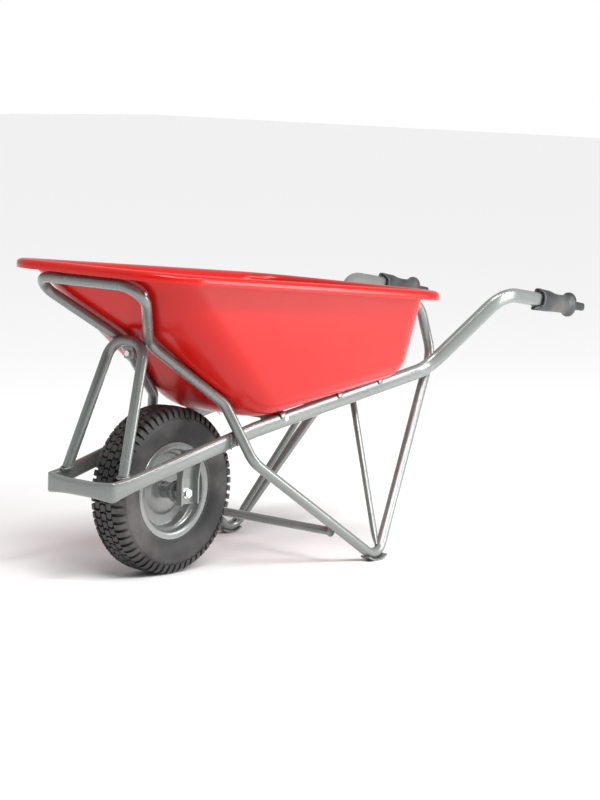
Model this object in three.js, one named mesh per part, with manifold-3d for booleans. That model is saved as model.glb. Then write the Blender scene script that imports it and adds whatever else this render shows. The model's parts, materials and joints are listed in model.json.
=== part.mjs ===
// Wheelbarrow with one pneumatic wheel, a folded tube frame and a moulded plastic tub.
//
// Millimetres, +Z up, +X towards the handles, +Y to the right of a person who pushes it.
// Every shape is first placed in the axle frame, whose origin is the point on the ground
// under the wheel axle. The whole barrow is then shifted along X, so that the exported
// group stands on Z = 0 with its length centred on X = 0.

import * as THREE from 'three';
import * as BufferGeometryUtils from 'three/addons/utils/BufferGeometryUtils.js';
import Module from 'manifold-3d';

const wasm = await Module();
wasm.setup();

// ------------------------------------------------------------------ driving dimensions

const gap = 0.3;            // air left between two pieces that touch or are welded
const runningGap = 0.75;    // air round the axle inside the bearings

const tyre = { radius: 195, halfWidth: 49, beadRadius: 101, beadHalfWidth: 33, wall: 7, tread: 14 };
const crown = 2 * tyre.radius;              // top of the tyre: the frame's heights start here
const axleHeight = tyre.radius;
const rim = {
  sheet: 2.4, flangeRadius: 113, flangeHalfWidth: 37.5, seatRadius: 100, seatInner: 20,
  wellRadius: 87, wellHalfWidth: 14, dishDepth: 9, dishRadius: 58,
};
const bracket = {
  plate: 4, width: 58, flange: 17, webY: tyre.halfWidth + 22, x: 2, drop: 26, bendZ: axleHeight + 34,
};
const hub = { bore: 14, radius: 19.5, halfLength: bracket.webY - 18, cupRadius: 25, cupLength: 9 };
const bearing = { width: 11 };
const axle = { radius: 6, headAcross: 19, headHeight: 8, nutHeight: 10, washerRadius: 12, washer: 2.5, tail: 6 };
const valve = { radius: 5, length: 32, angle: 35 };
const innerTube = { radius: 37, wall: 2, squash: 0.78, room: 6 };

const tube = { radius: 12.5, wall: 1.6, sides: 10 };            // side tubes and front hoop
const thinTube = { radius: 10.5, wall: 1.5, sides: 10 };        // brace between the legs
const stayTube = { radius: 8, wall: 1.2, sides: 10 };
const rail = { height: 38, width: 20, wall: 2 };                // flat oval main tube
const bumper = { x: -264, halfWidth: 101, height: 40, z: crown - 163.9 };
const railSag = { x: 179, y: 121.8, z: crown - 58.9, radius: 500 };    // slight bend under the tub
const railBend = { x: 785, y: 150, z: crown + 45.5, radius: 110 };     // where the rail turns up
const handleBend = { x: 950, y: 256, z: crown + 232, radius: 90 };     // where it turns level again
const handleEnd = { x: 1236, y: 258, z: crown + 189 };

const grip = { length: 223, overhang: 60, waist: 21, collar: 28, flange: 31.5 };

const crossTube = { x: -265, halfWidth: 189, z: crown + 300, bendRadius: 42 };
const cradleWaist = { x: -96, y: 41, z: crown + 153, bendRadius: 50 };
const cradleElbow = { x: 81, z: crown + 10, bendRadius: 50 };
const legKnee = { x: 127, z: crown - 124, bendRadius: 60 };
const railCrossing = { x: 102, splay: 0.4 };                  // where the side tube passes the rail
const foot = { x: 501, y: 240, bendRadius: 42 };
const hoopBase = { x: 845, y: railBend.y - 38, z: railBend.z + 31, bendRadius: 60 };
const hoopShoulder = { x: 806, y: 100, z: crown + 210, bendRadius: 60 };
const hoopCorner = { y: 92, bendRadius: 45 };

const frontHoop = { footX: -219, footHalf: 90, topX: -119, topZ: crown + 157, topHalf: 51 };
const braceTube = { x: 368, z: 80, set: 15 };
const stay = { topX: 616, topY: 40, footRoom: 25 };
const skid = { thickness: 4, width: 28, reach: 35, steps: 5 };

const crossBar = { width: 30, height: 16, wall: 2, proud: 2, places: [262, 457, 612] };

const tub = {
  wall: 4,
  rimFront: -285, rimRear: 692, rimHalfFront: 273, rimHalfRear: 314,
  rimCornerFront: 125, rimCornerRear: 120,
  rimHeight: crown + 313, rimSlope: 0.088, lipWidth: 37, lipDepth: 22,
  floorHeight: crown - 87.5 + rail.height / 2, floorSlope: 0.176,
  floorHalfFront: 178, floorHalfRear: 224, floorCornerFront: 112, floorCornerRear: 70,
  noseX: 152, noseRadius: 150, tailX: 654, tailRadius: 58, sideRadius: 66, sideTurn: 74,
};
const tubBolt = { radius: 4, head: 11, headHeight: 3.2, nutAcross: 13, nutHeight: 6.5, inset: 70, tail: 4 };
const hoopTab = { thickness: 3, width: 26, height: 27 };
const hoopBolt = { radius: 4, across: 13, headHeight: 5.5, nutHeight: 6.5, tail: 3 };

// ------------------------------------------------------------------ finishes

const finish = {
  frame: { color: 0x8f9693, roughness: 0.42, metalness: 0.35 },
  tub: { color: 0xe03a34, roughness: 0.3, metalness: 0.0 },
  tyre: { color: 0x2a2a2b, roughness: 0.85, metalness: 0.0 },
  tube: { color: 0x1c1c1d, roughness: 0.7, metalness: 0.0 },
  rim: { color: 0xa2a6a5, roughness: 0.35, metalness: 0.4 },
  zinc: { color: 0xc9ced0, roughness: 0.28, metalness: 0.9 },
  grip: { color: 0x37393b, roughness: 0.7, metalness: 0.0 },
};

// ------------------------------------------------------------------ small helpers

const point = (x, y, z) => new THREE.Vector3(x, y, z);
const lerp = THREE.MathUtils.lerp;
const barrow = new THREE.Group();

function add(name, geometry, look) {
  const mesh = new THREE.Mesh(geometry, new THREE.MeshStandardMaterial(finish[look]));
  mesh.name = name;
  barrow.add(mesh);
}

// The other hand of a piece: Y changes sign and every triangle is turned round again.
function mirrored(geometry) {
  const copy = BufferGeometryUtils.mergeVertices(bare(geometry));
  copy.scale(1, -1, 1);
  const index = copy.index.array;
  for (let i = 0; i < index.length; i += 3) {
    [index[i], index[i + 1]] = [index[i + 1], index[i]];
  }
  return copy;
}

function addPair(name, geometry, look) {
  add(`left_${name}`, geometry, look);
  add(`right_${name}`, mirrored(geometry), look);
}

function bare(geometry) {
  const copy = geometry.clone();
  copy.deleteAttribute('normal');
  copy.deleteAttribute('uv');
  return copy;
}

// Solids for the boolean cuts, and back again.
function toSolid(geometry) {
  const merged = BufferGeometryUtils.mergeVertices(bare(geometry));
  return new wasm.Manifold(new wasm.Mesh({
    numProp: 3,
    vertProperties: new Float32Array(merged.attributes.position.array),
    triVerts: new Uint32Array(merged.index.array),
  }));
}

function toGeometry(solid) {
  const mesh = solid.getMesh();
  const geometry = new THREE.BufferGeometry();
  geometry.setAttribute('position', new THREE.BufferAttribute(mesh.vertProperties, 3));
  geometry.setIndex(new THREE.BufferAttribute(mesh.triVerts, 1));
  return geometry;
}

function cut(geometry, ...tools) {
  let solid = toSolid(geometry);
  for (const tool of tools) {
    solid = solid.subtract(toSolid(tool));
  }
  return toGeometry(solid);
}

// A round bar between two points.
function bar(from, to, radius, sides = 16) {
  const along = to.clone().sub(from);
  const geometry = new THREE.CylinderGeometry(radius, radius, along.length(), sides);
  const turn = new THREE.Quaternion().setFromUnitVectors(point(0, 1, 0), along.clone().normalize());
  geometry.applyQuaternion(turn);
  const middle = from.clone().add(to).multiplyScalar(0.5);
  geometry.translate(middle.x, middle.y, middle.z);
  return geometry;
}

// A ring or a stepped sleeve round the line X = 0, Z = height, from a closed outline of
// [radius, y] pairs that runs anticlockwise with the radius to the right.
function turned(outline, height, segments = 32) {
  const closed = [...outline, outline[0]];
  const geometry = new THREE.LatheGeometry(closed.map(([r, y]) => new THREE.Vector2(r, y)), segments);
  geometry.translate(0, 0, height);
  return geometry;
}

// A route of straight runs and round bends. It has stations only where a bend starts,
// in equal steps round it, and where it ends, so straight runs stay one long facet.
class BentLine extends THREE.Curve {
  constructor(corners, bendSteps = 5) {
    super();
    this.stations = [];
    this.tangents = [];
    const last = corners.length - 1;
    const ends = [corners[0], corners[last]].map((corner) => corner.at);
    this.place(ends[0], corners[1].at.clone().sub(ends[0]).normalize());
    for (let i = 1; i < last; i += 1) {
      this.bend(corners[i - 1].at, corners[i].at, corners[i + 1].at, corners[i].radius, bendSteps);
    }
    this.place(ends[1], ends[1].clone().sub(corners[last - 1].at).normalize());
  }

  place(position, tangent) {
    this.stations.push(position.clone());
    this.tangents.push(tangent.clone());
  }

  bend(before, corner, after, radius, steps) {
    const into = corner.clone().sub(before).normalize();
    const out = after.clone().sub(corner).normalize();
    const turn = into.angleTo(out);
    const reach = radius * Math.tan(turn / 2);
    const start = corner.clone().addScaledVector(into, -reach);
    const axis = into.clone().cross(out).normalize();
    const centre = start.clone().addScaledVector(axis.clone().cross(into), radius);
    for (let k = 0; k <= steps; k += 1) {
      const part = (turn * k) / steps;
      const spoke = start.clone().sub(centre).applyAxisAngle(axis, part);
      this.place(centre.clone().add(spoke), into.clone().applyAxisAngle(axis, part));
    }
  }

  lookup(list, u) {
    const at = u * (list.length - 1);
    const low = Math.min(Math.floor(at + 1e-9), list.length - 2);
    return list[low].clone().lerp(list[low + 1], at - low);
  }

  getPoint(u) {
    return this.lookup(this.stations, u);
  }

  getPointAt(u) {
    return this.getPoint(u);
  }

  getTangentAt(u) {
    return this.lookup(this.tangents, u).normalize();
  }
}

function outlineShape(points) {
  return new THREE.Shape(points.map(([x, y]) => new THREE.Vector2(x, y)));
}

// A tube section with flat ends to its arcs: round when flat is 0, else a flat oval whose
// straight sides are 'flat' long and stand along the second axis of the section, or lie
// along the first when 'upright' is false.
function tubeSection(radius, wall, flat = 0, sides = 12, upright = true) {
  const ring = (r) => {
    const points = [];
    for (let i = 0; i < sides; i += 1) {
      const angle = (2 * Math.PI * (i + 0.5)) / sides;
      const lift = Math.sin(angle) > 0 ? flat / 2 : -flat / 2;
      points.push([r * Math.cos(angle), r * Math.sin(angle) + lift]);
    }
    return points;
  };
  const placed = (r) => (upright ? ring(r) : ring(r).map(([x, y]) => [y, x]).reverse());
  const shape = outlineShape(placed(radius));
  shape.holes.push(new THREE.Path(placed(radius - wall).map(([x, y]) => new THREE.Vector2(x, y))));
  return shape;
}

function sweep(shape, route) {
  return new THREE.ExtrudeGeometry(shape, { steps: route.stations.length - 1, extrudePath: route });
}

function roundTube(corners, size = tube, bendSteps = 5) {
  return sweep(tubeSection(size.radius, size.wall, 0, size.sides), new BentLine(corners, bendSteps));
}

// Left-sided pieces are drawn at negative Y, and the right-sided ones are their mirror images.
const left = (place) => point(place.x, -place.y, place.z);

// ------------------------------------------------------------------ lines the frame follows

// Centre line of the left rail between the bumper and the first bend: two straight runs.
function railAt(x) {
  const start = { x: bumper.x, y: bumper.halfWidth, z: bumper.z };
  const [from, to] = x < railSag.x ? [start, railSag] : [railSag, railBend];
  const part = (x - from.x) / (to.x - from.x);
  return point(x, -lerp(from.y, to.y, part), lerp(from.z, to.z, part));
}

const frontRise = Math.atan2(railSag.z - bumper.z, railSag.x - bumper.x);
const railRise = Math.atan2(railBend.z - railSag.z, railBend.x - railSag.x);
const railHalfTall = rail.height / 2 / Math.cos(frontRise);

const rimTop = (x) => tub.rimHeight - tub.rimSlope * x;
const floorTop = (x) => tub.floorHeight + tub.floorSlope * x;

// ------------------------------------------------------------------ main frame tubes

const railShape = () => tubeSection(rail.width / 2, rail.wall, rail.height - rail.width);

function railRoute() {
  const behindBumper = rail.width / 2 + (rail.height / 2) * Math.tan(frontRise) + 2 * gap;
  return new BentLine([
    { at: railAt(bumper.x + behindBumper) },
    { at: left(railSag), radius: railSag.radius },
    { at: left(railBend), radius: railBend.radius },
    { at: left(handleBend), radius: handleBend.radius },
    { at: left(handleEnd) },
  ], 5);
}

function bumperPiece() {
  const half = bumper.halfWidth + rail.width / 2;
  const section = tubeSection(rail.width / 2, rail.wall, bumper.height - rail.width, 12, false);
  return sweep(section, new BentLine([
    { at: point(bumper.x, -half, bumper.z) },
    { at: point(bumper.x, half, bumper.z) },
  ]));
}

// The hoop stands on the rails just behind the bumper and leans back to the cradle.
function frontHoopPiece() {
  const { footX, footHalf, topX, topZ, topHalf } = frontHoop;
  const footZ = railAt(footX).z + railHalfTall + gap + tube.radius * 0.4;
  const bendRadius = topHalf * 0.93;
  return roundTube([
    { at: point(footX, -footHalf, footZ) },
    { at: point(topX, -topHalf, topZ), radius: bendRadius },
    { at: point(topX, topHalf, topZ), radius: bendRadius },
    { at: point(footX, footHalf, footZ) },
  ], tube, 6);
}

// A small plate welded under the top of the hoop, with a bolt through it.
function addHoopTab() {
  const { thickness, width, height } = hoopTab;
  const { topX, topZ } = frontHoop;
  const top = topZ - tube.radius - 2 * gap;
  const plate = new THREE.BoxGeometry(thickness, width, height);
  plate.translate(topX, 0, top - height / 2);
  const z = top - height * 0.55;
  const along = (from, to, radius, sides) => bar(point(from, 0, z), point(to, 0, z), radius, sides);
  const hexRadius = hoopBolt.across / 2 / Math.cos(Math.PI / 6);
  const front = topX - thickness / 2 - gap;
  const back = topX + thickness / 2 + gap;
  const drill = along(topX - 20, topX + 20, hoopBolt.radius + gap, 12);
  const shank = along(front - 1, back + hoopBolt.nutHeight + hoopBolt.tail, hoopBolt.radius, 12);
  const head = along(front - hoopBolt.headHeight, front, hexRadius, 6);
  add('hoop_tab', cut(plate, drill), 'frame');
  add('hoop_bolt', toGeometry(toSolid(shank).add(toSolid(head))), 'zinc');
  add('hoop_nut', cut(along(back, back + hoopBolt.nutHeight, hexRadius, 6), drill), 'zinc');
}

// ------------------------------------------------------------------ side tubes

// Half width of the side tube where it passes the outer face of the rail, at a given height.
function crossingY(z) {
  const beside = railAt(railCrossing.x);
  const touching = -beside.y + rail.width / 2 + tube.radius + gap;
  return touching + railCrossing.splay * (beside.z + railHalfTall - z);
}

const elbowPlace = { ...cradleElbow, y: crossingY(cradleElbow.z) };
const kneePlace = { ...legKnee, y: crossingY(legKnee.z) };

// The foot bend touches its skid plate, so the corner of the bend is lowered or raised
// until the lowest point of the bent centre line is one tube radius above the plate.
function footCorner() {
  const wanted = skid.thickness + 2 * gap + tube.radius;
  const place = { x: foot.x, y: foot.y, z: 0 };
  for (let pass = 0; pass < 4; pass += 1) {
    const route = new BentLine([
      { at: left(kneePlace) },
      { at: left(place), radius: foot.bendRadius },
      { at: left(hoopBase) },
    ], 24);
    const lowest = Math.min(...route.stations.map((station) => station.z));
    place.z += wanted - lowest;
  }
  return place;
}

const footPlace = footCorner();

function hoopCross() {
  const x = tub.rimRear - tub.lipWidth / 2 - 1;
  return { x, z: rimTop(x + tube.radius) - tub.lipDepth - tube.radius - 2 * gap };
}

function sideTubePiece() {
  const cross = hoopCross();
  return roundTube([
    { at: point(crossTube.x, -gap / 2, crossTube.z) },
    { at: left({ x: crossTube.x, y: crossTube.halfWidth, z: crossTube.z }), radius: crossTube.bendRadius },
    { at: left(cradleWaist), radius: cradleWaist.bendRadius },
    { at: left(elbowPlace), radius: cradleElbow.bendRadius },
    { at: left(kneePlace), radius: legKnee.bendRadius },
    { at: left(footPlace), radius: foot.bendRadius },
    { at: left(hoopBase), radius: hoopBase.bendRadius },
    { at: left(hoopShoulder), radius: hoopShoulder.bendRadius },
    { at: left({ x: cross.x, y: hoopCorner.y, z: cross.z }), radius: hoopCorner.bendRadius },
    { at: point(cross.x, -gap / 2, cross.z) },
  ], tube, 4);
}

// Where the front run of the leg is at a given X.
function legAt(x) {
  const part = (x - kneePlace.x) / (footPlace.x - kneePlace.x);
  return point(x, -lerp(kneePlace.y, footPlace.y, part), lerp(kneePlace.z, footPlace.z, part));
}

function legBracePiece() {
  const half = -legAt(braceTube.x).y - braceTube.set;
  return roundTube([
    { at: point(braceTube.x, -half, braceTube.z) },
    { at: point(braceTube.x, half, braceTube.z) },
  ], thinTube);
}

function stayPiece() {
  const underBar = barTop(stay.topX) - crossBar.height;
  const upper = point(stay.topX, -stay.topY, underBar - gap - stayTube.radius * 0.85);
  const lower = point(footPlace.x + 4, -footPlace.y + 4, skid.thickness + 2 * tube.radius);
  const along = upper.clone().sub(lower).normalize();
  lower.addScaledVector(along, stay.footRoom);
  return roundTube([{ at: lower }, { at: upper }], stayTube);
}

// A short strip bent round the underside of the foot. Its middle facet lies on the ground.
function skidPiece() {
  const centreZ = foot.bendRadius + tube.radius + 2 * gap + skid.thickness;
  const half = THREE.MathUtils.degToRad(skid.reach);
  const step = (2 * half) / skid.steps;
  const edge = (distance) => {
    const radius = distance / Math.cos(step / 2);
    const points = [];
    for (let k = 0; k <= skid.steps; k += 1) {
      const angle = -half + k * step;
      points.push([radius * Math.sin(angle), centreZ - radius * Math.cos(angle)]);
    }
    return points;
  };
  const outer = edge(centreZ);
  const inner = edge(centreZ - skid.thickness).reverse();
  const geometry = new THREE.ExtrudeGeometry(outlineShape([...outer, ...inner]), {
    depth: skid.width, bevelEnabled: false,
  });
  geometry.rotateX(Math.PI / 2);
  geometry.translate(skidPlace().x, -footPlace.y + skid.width / 2 + 2, 0);
  return geometry;
}

// The lowest point of the foot bend.
function skidPlace() {
  const route = new BentLine([
    { at: left(kneePlace) },
    { at: left(footPlace), radius: foot.bendRadius },
    { at: left(hoopBase) },
  ], 24);
  return route.stations.reduce((low, station) => (station.z < low.z ? station : low));
}

// ------------------------------------------------------------------ bars under the tub

// The bars are welded between the rails, a little proud of their tops, and carry the tub.
function barTop(x) {
  return railAt(x).z + railHalfTall + crossBar.proud;
}

function crossBarPiece(x) {
  const { width, height, wall } = crossBar;
  const half = -railAt(x - width).y - rail.width / 2 - gap;
  const rect = (w, h) => [[-w / 2, -h / 2], [w / 2, -h / 2], [w / 2, h / 2], [-w / 2, h / 2]];
  const shape = outlineShape(rect(width, height));
  const hole = rect(width - 2 * wall, height - 2 * wall);
  shape.holes.push(new THREE.Path(hole.map(([a, b]) => new THREE.Vector2(a, b))));
  const geometry = new THREE.ExtrudeGeometry(shape, { depth: 2 * half, bevelEnabled: false });
  geometry.translate(0, 0, -half);
  geometry.rotateX(Math.PI / 2);
  geometry.rotateY(-railRise);
  geometry.translate(x, 0, barTop(x) - crossBar.height / 2 / Math.cos(railRise));
  return geometry;
}

// ------------------------------------------------------------------ axle brackets

function bracketPiece() {
  const { plate, width, flange, webY, x, bendZ } = bracket;
  const topZ = railAt(x).z + 8;
  const topY = -railAt(x).y - rail.width / 2 - flange - 4;
  const w = width / 2;
  const shape = outlineShape([
    [-w, 0], [-w, -flange], [-w + plate, -flange], [-w + plate, -plate],
    [w - plate, -plate], [w - plate, -flange], [w, -flange], [w, 0],
  ]);
  const route = new BentLine([
    { at: point(x, -topY, topZ) },
    { at: point(x, -webY, bendZ), radius: 30 },
    { at: point(x, -webY, axleHeight - bracket.drop) },
  ], 3);
  const channel = sweep(shape, route);
  const drill = bar(point(0, -webY - 40, axleHeight), point(0, -webY + 40, axleHeight), axle.radius + gap);
  return cut(channel, drill);
}

// ------------------------------------------------------------------ axle and its fasteners

function hexPrism(from, to, across) {
  return bar(from, to, across / 2 / Math.cos(Math.PI / 6), 6);
}

const webOuter = bracket.webY + bracket.plate;
const washerOuter = webOuter + gap + axle.washer;

function axlePiece() {
  const far = washerOuter + axle.nutHeight + axle.tail;
  const shank = bar(point(0, -washerOuter - gap - 2, axleHeight), point(0, far, axleHeight), axle.radius, 24);
  const head = hexPrism(
    point(0, -washerOuter - gap - axle.headHeight, axleHeight),
    point(0, -washerOuter - gap, axleHeight), axle.headAcross);
  return toGeometry(toSolid(shank).add(toSolid(head)));
}

function ringAt(inner, outer, from, to, segments = 24) {
  return turned([[inner, from], [outer, from], [outer, to], [inner, to]], axleHeight, segments);
}

function axleNutPiece() {
  const from = washerOuter + gap;
  const nut = hexPrism(point(0, from, axleHeight), point(0, from + axle.nutHeight, axleHeight), axle.headAcross);
  const bore = bar(point(0, from - 5, axleHeight), point(0, from + 20, axleHeight), axle.radius + gap, 24);
  return cut(nut, bore);
}

// ------------------------------------------------------------------ wheel

function tyreOutline() {
  const { radius, halfWidth, beadRadius, beadHalfWidth, wall, tread } = tyre;
  const crown = radius - 1.2;
  const shoulder = radius - 11;
  const outer = [
    [beadRadius + 3, beadHalfWidth - 0.5], [beadRadius + 14, beadHalfWidth + 3], [beadRadius + 26, halfWidth - 5],
    [beadRadius + 48, halfWidth], [beadRadius + 66, halfWidth - 1.5], [shoulder, halfWidth - 9],
    [crown - 3, halfWidth - 20], [radius, halfWidth - 34],
  ];
  const inner = [
    [radius - tread, halfWidth - 38], [radius - tread - 2, halfWidth - 26], [radius - tread - 12, halfWidth - 15],
    [beadRadius + 48, halfWidth - wall], [beadRadius + 26, halfWidth - 5 - wall],
    [beadRadius + 14, beadHalfWidth - 6], [beadRadius + 1, beadHalfWidth - 9],
  ];
  const bead = [beadRadius + 0.6, beadHalfWidth - 2];
  const near = [inner[inner.length - 1], bead, ...outer];
  const mirror = (list) => list.map(([r, y]) => [r, -y]);
  return [
    ...near, ...mirror(outer).reverse(), mirror([bead])[0], ...mirror(inner).reverse(), ...inner.slice(0, -1),
  ];
}

// Pressed half of the wheel: disc, well, tyre seat and flange, as one bent sheet.
function rimOutline() {
  const { sheet, flangeRadius, flangeHalfWidth, seatRadius, seatInner, wellRadius, wellHalfWidth } = rim;
  const bore = hub.radius + gap;
  const face = [
    [bore, rim.dishDepth], [rim.dishRadius - 14, rim.dishDepth - 1], [rim.dishRadius, gap / 2],
    [wellRadius, gap / 2],
    [wellRadius, wellHalfWidth], [seatRadius - 2, seatInner], [seatRadius - 1, flangeHalfWidth - sheet - 4],
    [seatRadius + 3, flangeHalfWidth - sheet],
    [flangeRadius - 2, flangeHalfWidth - sheet], [flangeRadius, flangeHalfWidth - sheet + 1],
  ];
  const back = [
    [flangeRadius, flangeHalfWidth + 0.6], [flangeRadius - 3, flangeHalfWidth], [seatRadius + 1, flangeHalfWidth],
    [seatRadius - 1 - sheet, flangeHalfWidth - 3], [seatRadius - 2 - sheet, seatInner + 1.5],
    [wellRadius - sheet, wellHalfWidth + 1.5], [wellRadius - sheet, sheet + gap / 2],
    [rim.dishRadius + 1, sheet + gap / 2], [rim.dishRadius - 13, rim.dishDepth + sheet - 1],
    [bore, rim.dishDepth + sheet],
  ];
  return [...face, ...back];
}

function valveLine(from, to) {
  const angle = THREE.MathUtils.degToRad(valve.angle);
  const across = rim.wellHalfWidth / 2 + 1;
  const at = (r) => point(r * Math.cos(angle), -across, axleHeight + r * Math.sin(angle));
  return [at(from), at(to)];
}

function innerTubePiece() {
  const centre = rim.wellRadius + innerTube.radius + innerTube.room;
  const sides = 10;
  const torus = (radius) => {
    const outline = [];
    for (let i = 0; i < sides; i += 1) {
      const angle = (2 * Math.PI * i) / sides;
      outline.push([centre + radius * Math.cos(angle), radius * innerTube.squash * Math.sin(angle)]);
    }
    return turned(outline, axleHeight, 24);
  };
  const [from, to] = valveLine(rim.wellRadius - 10, centre);
  return cut(torus(innerTube.radius), torus(innerTube.radius - innerTube.wall), bar(from, to, valve.radius + gap));
}

function hubPiece() {
  const { bore, radius, halfLength, cupRadius, cupLength } = hub;
  return turned([
    [bore, -halfLength], [cupRadius, -halfLength], [cupRadius, -halfLength + cupLength],
    [radius, -halfLength + cupLength + 3], [radius, halfLength - cupLength - 3],
    [cupRadius, halfLength - cupLength], [cupRadius, halfLength], [bore, halfLength],
  ], axleHeight, 24);
}

// ------------------------------------------------------------------ tub

// One quarter-turn corner of a plan outline, from facing along X to facing along Y.
function planRing(level) {
  const ring = [];
  const steps = 6;
  const corner = (sx, sy) => {
    const radius = sx > 0 ? level.cornerRear : level.cornerFront;
    const half = sx > 0 ? level.halfRear : level.halfFront;
    const edge = sx > 0 ? level.rear : level.front;
    const centre = [edge - sx * radius, sy * (half - radius)];
    const list = [];
    for (let k = 0; k <= steps; k += 1) {
      const angle = (Math.PI / 2) * (k / steps);
      const side = Math.sin(angle) ** 2;
      const x = centre[0] + sx * radius * Math.cos(angle);
      const y = centre[1] + sy * radius * Math.sin(angle);
      list.push([x, y, level.height(x, side, sx)]);
    }
    return list;
  };
  ring.push(...corner(1, -1).reverse(), ...corner(1, 1));
  ring.push(...corner(-1, 1).reverse(), ...corner(-1, -1));
  return ring.map(([x, y, z]) => point(x, y, z));
}

// Levels of the outer body, from the flat floor round the bottom fillet to the lip.
function bodyLevels(inset) {
  const wallFront = frontWall();
  const side = sideProfile(tub.sideRadius);
  const tail = sideProfile(tub.tailRadius);
  const levels = [];
  const bendSteps = 4;
  const top = {
    front: tub.rimFront + tub.lipWidth + inset,
    rear: tub.rimRear - tub.lipWidth - inset,
    halfFront: tub.rimHalfFront - tub.lipWidth - inset,
    halfRear: tub.rimHalfRear - tub.lipWidth - inset,
    cornerFront: tub.rimCornerFront - tub.lipWidth * 0.4,
    cornerRear: tub.rimCornerRear - tub.lipWidth * 0.6,
    height: (x) => rimTop(x) - tub.lipDepth,
  };
  for (let k = 0; k <= bendSteps; k += 1) {
    const t = k / bendSteps;
    const nose = wallFront.at(t);
    const beside = side.at(t);
    const behind = tail.at(t);
    levels.push({
      front: nose.x + inset,
      rear: tub.tailX - inset - tub.tailRadius + behind.out,
      halfFront: tub.floorHalfFront - inset - tub.sideRadius + beside.out,
      halfRear: tub.floorHalfRear - inset - tub.sideRadius + beside.out,
      cornerFront: tub.floorCornerFront - tub.sideRadius + beside.out,
      cornerRear: Math.max(tub.floorCornerRear - tub.tailRadius + behind.out, 12),
      height: (x, across, facing) => {
        const end = facing > 0 ? behind.up : nose.lift;
        return floorTop(x) + lerp(end, beside.up, across) + inset;
      },
    });
  }
  levels.push(top);
  return levels;
}

// Fillet between the floor and a wall that stands almost upright.
function sideProfile(radius) {
  const turn = THREE.MathUtils.degToRad(tub.sideTurn);
  return {
    at: (t) => ({ out: radius * Math.sin(turn * t), up: radius * (1 - Math.cos(turn * t)) }),
  };
}

// The long front wall: a straight slope from the lip that runs into the floor in a wide arc.
function frontWall() {
  const topX = tub.rimFront + tub.lipWidth;
  const topZ = rimTop(topX) - tub.lipDepth;
  const corner = new THREE.Vector2(tub.noseX, floorTop(tub.noseX));
  const alongFloor = new THREE.Vector2(1, tub.floorSlope).normalize();
  const alongWall = new THREE.Vector2(topX, topZ).sub(corner).normalize();
  const turn = Math.PI - Math.acos(alongFloor.dot(alongWall));
  const reach = tub.noseRadius * Math.tan(turn / 2);
  const start = corner.clone().addScaledVector(alongFloor, reach);
  const normal = new THREE.Vector2(-alongFloor.y, alongFloor.x);
  const centre = start.clone().addScaledVector(normal, tub.noseRadius);
  return {
    at: (t) => {
      const angle = -turn * t;
      const spoke = start.clone().sub(centre).rotateAround(new THREE.Vector2(0, 0), angle);
      const place = centre.clone().add(spoke);
      return { x: place.x, lift: place.y - floorTop(place.x) };
    },
  };
}

// Levels of the rolled lip, from the body wall out, round the skirt and back over the top.
function lipLevels() {
  const { lipWidth, lipDepth, wall } = tub;
  const steps = [
    [1, -wall - 5], [6, -wall], [lipWidth - wall - 4, -wall], [lipWidth - wall, -wall - 5], [lipWidth - wall, -lipDepth],
    [lipWidth, -lipDepth], [lipWidth, -7], [lipWidth - 3, -2], [lipWidth - 9, 0],
    [7, 0], [0, -3], [-wall, -11],
  ];
  return steps.map(([out, up]) => ({
    front: tub.rimFront + lipWidth - out,
    rear: tub.rimRear - lipWidth + out,
    halfFront: tub.rimHalfFront - lipWidth + out,
    halfRear: tub.rimHalfRear - lipWidth + out,
    cornerFront: tub.rimCornerFront - (lipWidth - out) * 0.4,
    cornerRear: tub.rimCornerRear - (lipWidth - out) * 0.6,
    height: (x) => rimTop(x) + up,
  }));
}

function tubShell() {
  const outer = bodyLevels(0);
  const inner = bodyLevels(tub.wall).reverse();
  const rings = [...outer, ...lipLevels(), ...inner].map(planRing);
  const count = rings[0].length;
  const vertices = rings.flat();
  const middle = (ring) => ring.reduce((sum, p) => sum.add(p), point(0, 0, 0)).divideScalar(ring.length);
  const under = vertices.push(middle(rings[0])) - 1;
  const inside = vertices.push(middle(rings[rings.length - 1])) - 1;
  const index = [];
  for (let r = 0; r < rings.length - 1; r += 1) {
    for (let i = 0; i < count; i += 1) {
      const j = (i + 1) % count;
      const [a, b, c, d] = [r * count + i, r * count + j, (r + 1) * count + j, (r + 1) * count + i];
      index.push(a, b, c, a, c, d);
    }
  }
  const lastRing = (rings.length - 1) * count;
  for (let i = 0; i < count; i += 1) {
    const j = (i + 1) % count;
    index.push(under, j, i);
    index.push(inside, lastRing + i, lastRing + j);
  }
  const geometry = new THREE.BufferGeometry().setFromPoints(vertices);
  geometry.setIndex(index);
  return geometry;
}

function boltPlaces() {
  const places = [];
  for (const x of crossBar.places.slice(0, 2)) {
    for (const side of [-1, 1]) {
      places.push(point(x, side * tubBolt.inset, floorTop(x)));
    }
  }
  return places;
}

// Direction at right angles to the tub floor, and the drill for one of its bolts.
const floorUp = point(-tub.floorSlope, 0, 1).normalize();

function boltLine(place, from, to, radius, sides) {
  const low = place.clone().addScaledVector(floorUp, from);
  const high = place.clone().addScaledVector(floorUp, to);
  return bar(low, high, radius, sides);
}

function tubPiece() {
  const drills = boltPlaces().map((place) => boltLine(place, -20, 20, tubBolt.radius + gap, 12));
  return cut(tubShell(), ...drills);
}

function drilledCrossBar(x) {
  const drills = boltPlaces().filter((place) => Math.abs(place.x - x) < 1)
    .map((place) => boltLine(place, -60, 20, tubBolt.radius + 2 * gap, 12));
  return drills.length ? cut(crossBarPiece(x), ...drills) : crossBarPiece(x);
}

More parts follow.
